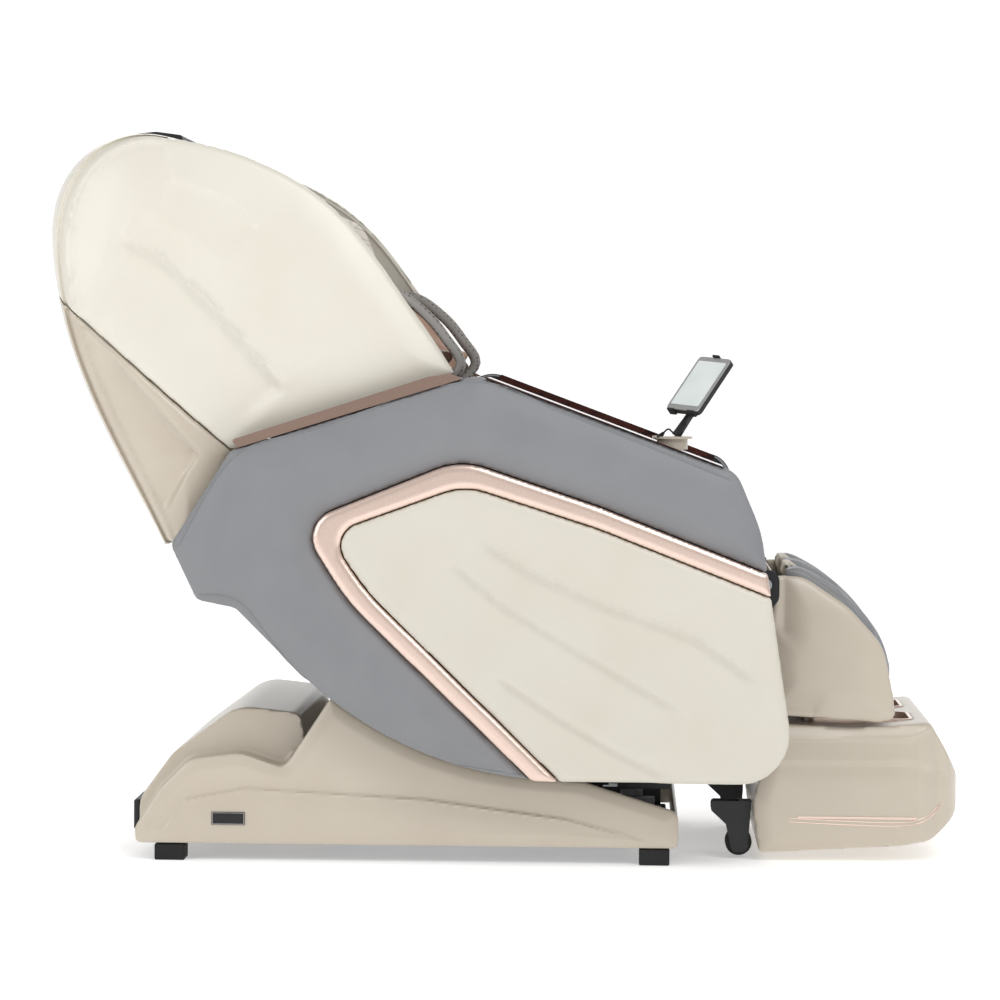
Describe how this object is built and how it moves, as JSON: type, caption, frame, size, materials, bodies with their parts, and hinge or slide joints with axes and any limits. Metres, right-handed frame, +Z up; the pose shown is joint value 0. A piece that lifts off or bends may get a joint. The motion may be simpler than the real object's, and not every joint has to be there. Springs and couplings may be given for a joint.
{
  "type": "massage chair",
  "caption": "Reclining body massage chair with tall wrap-around back shell, padded side panels, calf and foot wells, rocking cradle base and tablet on a swivel stem.",
  "frame": {"origin": "on the floor, below the middle of the chair's bounding box", "axes": "+X forward towards the foot rest, +Y to the sitter's left, +Z up"},
  "size_m": [1.5803, 0.82, 1.2535],
  "materials": {
    "pearl_shell": "satin pearl lacquer on moulded ABS",
    "champagne_shell": "champagne pearl lacquer on moulded ABS",
    "grey_leather": "fine-grained upholstery leather, padded",
    "cream_insert": "satin cream moulded panel",
    "rose_gold": "satin rose-gold metallic lacquer",
    "bronze": "bronze metallic lacquer",
    "mahogany_gloss": "dark mahogany under clear gloss lacquer",
    "cream_leather": "soft perforated upholstery leather",
    "tan_leather": "tan upholstery leather",
    "black_plastic": "fine-textured black ABS",
    "black_rubber": "moulded rubber",
    "steel_black": "black powder-coated steel",
    "steel_bright": "ground steel",
    "roller_nylon": "moulded nylon",
    "silver_bezel": "silver anodised",
    "screen_glass": "lit glass screen",
    "lead_black": "soft PVC lead jacket"
  },
  "bodies": {
    "base": {"base_frame": "steel_black", "base_side_covers": "champagne_shell", "base_end_covers": "champagne_shell", "rubber_feet": "black_rubber", "power_box": "black_plastic", "mains_inlet": "black_plastic", "name_plate": "black_plastic", "glide_rails": "steel_bright", "glide_screw": "steel_bright"},
    "switch": {"power_switch": "black_plastic"},
    "carriage": {"glide_carriage": "steel_black", "carriage_motors": "black_plastic"},
    "rollers_rear": {"cradle_rollers_rear": "steel_bright"},
    "rollers_front": {"cradle_rollers_front": "steel_bright"},
    "seat": {"seat_frame": "steel_black", "rocker_rails": "steel_bright", "seat_cushion": "cream_leather", "side_panels": "grey_leather", "side_trims": "rose_gold", "side_inserts": "cream_insert", "side_strips": "bronze", "arm_boxes": "black_plastic", "forearm_pads": "grey_leather", "armrest_inlays": "mahogany_gloss", "hinge_pins": "steel_bright", "leg_actuator": "black_plastic"},
    "back": {"back_frame": "steel_black", "wing_uppers": "pearl_shell", "wing_lowers": "champagne_shell", "back_centre_cover": "champagne_shell", "hood_cap": "black_plastic", "wing_linings": "grey_leather", "shoulder_pads": "tan_leather", "back_cushion": "cream_leather", "head_pillow": "cream_leather", "massage_tracks": "steel_bright"},
    "massage": {"massage_carriage": "steel_black"},
    "massage_arm": {"massage_arms": "steel_black"},
    "massage_low": {"massage_rollers_lower": "roller_nylon"},
    "massage_high": {"massage_rollers_upper": "roller_nylon"},
    "legrest": {"leg_shell": "champagne_shell", "leg_frame": "steel_black", "calf_bolsters": "grey_leather", "calf_pads": "cream_leather"},
    "leg_rod": {"leg_actuator_rod": "steel_bright"},
    "footrest": {"foot_shell": "champagne_shell", "foot_liners": "tan_leather", "foot_trims": "rose_gold", "sole_bearings": "steel_black", "roller_brackets": "steel_black"},
    "sole": {"sole_rollers": "roller_nylon"},
    "floor_wheels": {"floor_rollers": "black_rubber"},
    "turntable": {"tablet_turntable": "rose_gold", "tablet_stem": "black_plastic", "lead_outlet": "black_plastic"},
    "tablet": {"tablet_case": "black_plastic", "tablet_bezel": "silver_bezel", "tablet_screen": "screen_glass", "tablet_plug": "black_plastic", "tablet_lead": "lead_black"}
  },
  "joints": [
    {"name": "carriage_glide", "type": "slide", "parent": "base", "child": "carriage", "axis": [1, 0, 0], "range_m": [0, 0.1]},
    {"name": "seat_tilt", "type": "hinge", "parent": "carriage", "child": "seat", "pos_m": [0.112, 0, 0.802], "axis": [0, -1, 0], "range_deg": [0, 9]},
    {"name": "rear_roller_turn", "type": "hinge", "parent": "carriage", "child": "rollers_rear", "pos_m": [-0.12807, 0, 0.23644], "axis": [0, 1, 0], "range_deg": [-250, 10]},
    {"name": "front_roller_turn", "type": "hinge", "parent": "carriage", "child": "rollers_front", "pos_m": [0.25021, 0, 0.20335], "axis": [0, 1, 0], "range_deg": [-250, 10]},
    {"name": "back_recline", "type": "hinge", "parent": "seat", "child": "back", "pos_m": [-0.103, 0, 0.464], "axis": [0, -1, 0], "range_deg": [0, 18]},
    {"name": "massage_lift", "type": "slide", "parent": "back", "child": "massage", "axis": [-0.3859, 0, 0.9225], "range_m": [0, 0.36]},
    {"name": "massage_depth", "type": "hinge", "parent": "massage", "child": "massage_arm", "pos_m": [-0.24837, 0, 0.61457], "axis": [0, 1, 0], "range_deg": [-3, 3]},
    {"name": "lower_roller_spin", "type": "hinge", "parent": "massage_arm", "child": "massage_low", "pos_m": [-0.21154, 0, 0.57577], "axis": [0, 1, 0], "continuous": true},
    {"name": "upper_roller_spin", "type": "hinge", "parent": "massage_arm", "child": "massage_high", "pos_m": [-0.25013, 0, 0.66802], "axis": [0, 1, 0], "continuous": true},
    {"name": "leg_lift", "type": "hinge", "parent": "seat", "child": "legrest", "pos_m": [0.455, 0, 0.478], "axis": [0, -1, 0], "range_deg": [0, 75]},
    {"name": "leg_rod_slide", "type": "slide", "parent": "seat", "child": "leg_rod", "axis": [1, 0, 0], "range_m": [0, 0.08]},
    {"name": "foot_extension", "type": "slide", "parent": "legrest", "child": "footrest", "axis": [0.5, 0, -0.866], "range_m": [0, 0.11]},
    {"name": "sole_roller_spin", "type": "hinge", "parent": "footrest", "child": "sole", "pos_m": [0.625, 0, 0.078], "axis": [0, 1, 0], "continuous": true},
    {"name": "floor_wheel_spin", "type": "hinge", "parent": "footrest", "child": "floor_wheels", "pos_m": [0.415, 0, 0.029], "axis": [0, 1, 0], "continuous": true},
    {"name": "dock_swivel", "type": "hinge", "parent": "seat", "child": "turntable", "pos_m": [0.293, -0.338, 0.7], "axis": [0, 0, 1], "range_deg": [-60, 90]},
    {"name": "tablet_tilt", "type": "hinge", "parent": "turntable", "child": "tablet", "pos_m": [0.347, -0.334, 0.806], "axis": [0.7427, -0.6658, -0.0715], "range_deg": [-12, 8], "deforming": ["tablet_lead"]},
    {"name": "switch_rock", "type": "hinge", "parent": "base", "child": "switch", "pos_m": [-0.625, -0.221, 0.07], "axis": [0, 1, 0], "range_deg": [-5, 5]}
  ],
  "couplings": [
    {"joint": "rear_roller_turn", "follows": "seat_tilt", "ratio": -26.909},
    {"joint": "front_roller_turn", "follows": "seat_tilt", "ratio": -26.909},
    {"joint": "leg_rod_slide", "follows": "leg_lift", "m_per_rad": 0.04584},
    {"joint": "foot_extension", "follows": "leg_lift", "m_per_rad": 0.07639}
  ]
}
